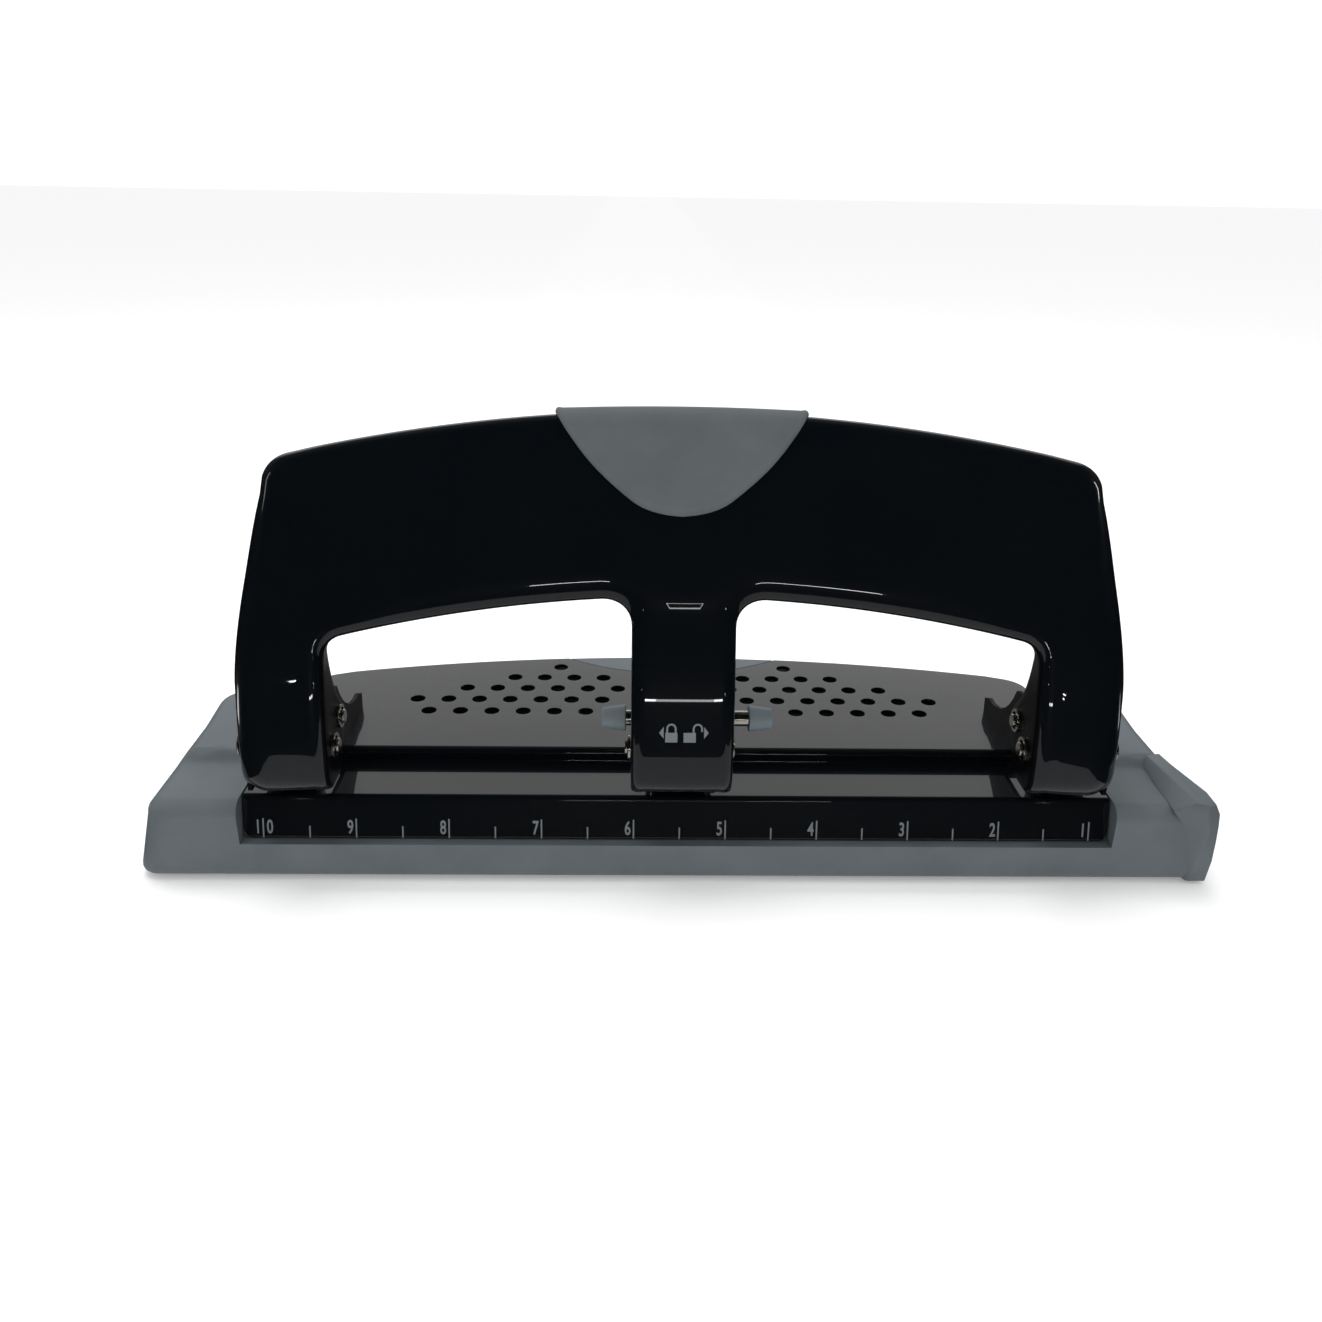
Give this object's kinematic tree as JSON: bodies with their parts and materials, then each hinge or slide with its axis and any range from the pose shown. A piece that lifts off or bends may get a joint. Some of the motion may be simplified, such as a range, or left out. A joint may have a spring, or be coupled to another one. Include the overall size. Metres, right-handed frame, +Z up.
{
  "type": "hole punch",
  "caption": "Desktop paper hole punch with a wide pressed lever handle, punch heads on a perforated steel deck, a locking bolt and a lift-off chip tray.",
  "frame": {"origin": "under the middle of the punch, on the table, at the bottom of the rubber feet", "axes": "+X along the ruler to the user's right, +Y from the user to the back, +Z up"},
  "size_m": [0.3, 0.097, 0.1269],
  "materials": {
    "black_enamel": "high gloss black stoved enamel",
    "grey_plastic": "fine spark-eroded satin",
    "soft_grip": "soft-touch matt",
    "black_rubber": "matt",
    "dark_steel": "oiled steel",
    "bright_steel": "ground steel",
    "nickel": "bright nickel plate",
    "knob_plastic": "satin moulded"
  },
  "bodies": {
    "tray": {"tray": "grey_plastic", "release_tab": "grey_plastic", "rubber_feet": "black_rubber"},
    "frame": {"frame_plate": "black_enamel", "bracket_left": "black_enamel", "bracket_middle": "black_enamel", "bracket_right": "black_enamel", "bracket_rivets": "dark_steel", "punch_guide_left": "dark_steel", "punch_guide_middle": "dark_steel", "punch_guide_right": "dark_steel", "pivot_pin_left": "nickel", "pivot_pin_middle": "nickel", "pivot_pin_right": "nickel", "pivot_clips": "nickel", "return_spring_left": "bright_steel", "return_spring_middle": "bright_steel", "return_spring_right": "bright_steel"},
    "lever": {"handle": "black_enamel", "grip_insert": "soft_grip", "drive_pin_left": "nickel", "drive_pin_right": "nickel", "drive_clips": "nickel"},
    "left_punch": {"punch_left": "bright_steel"},
    "middle_punch": {"punch_middle": "bright_steel"},
    "right_punch": {"punch_right": "bright_steel"},
    "lock": {"lock_bolt": "nickel", "lock_knob_left": "knob_plastic", "lock_knob_right": "knob_plastic"}
  },
  "joints": [
    {"name": "tray_release", "type": "slide", "parent": "tray", "child": "frame", "axis": [0, 0, 1], "range_m": [0, 0.03]},
    {"name": "handle_press", "type": "hinge", "parent": "frame", "child": "lever", "pos_m": [0, -0.0387, 0.0397], "axis": [-1, 0, 0], "range_deg": [0, 45], "stiffness_Nm_per_rad": 0.5, "springref_deg": -22.92},
    {"name": "left_punch_slide", "type": "slide", "parent": "frame", "child": "left_punch", "axis": [0, 0, 1], "range_m": [-0.0072, 0]},
    {"name": "middle_punch_slide", "type": "slide", "parent": "frame", "child": "middle_punch", "axis": [0, 0, 1], "range_m": [-0.0072, 0]},
    {"name": "right_punch_slide", "type": "slide", "parent": "frame", "child": "right_punch", "axis": [0, 0, 1], "range_m": [-0.0072, 0]},
    {"name": "lock_slide", "type": "slide", "parent": "lever", "child": "lock", "axis": [-1, 0, 0], "range_m": [0, 0.0037]}
  ],
  "couplings": [
    {"joint": "left_punch_slide", "follows": "handle_press", "m_per_rad": -0.00905},
    {"joint": "middle_punch_slide", "follows": "handle_press", "m_per_rad": -0.00905},
    {"joint": "right_punch_slide", "follows": "handle_press", "m_per_rad": -0.00905}
  ]
}
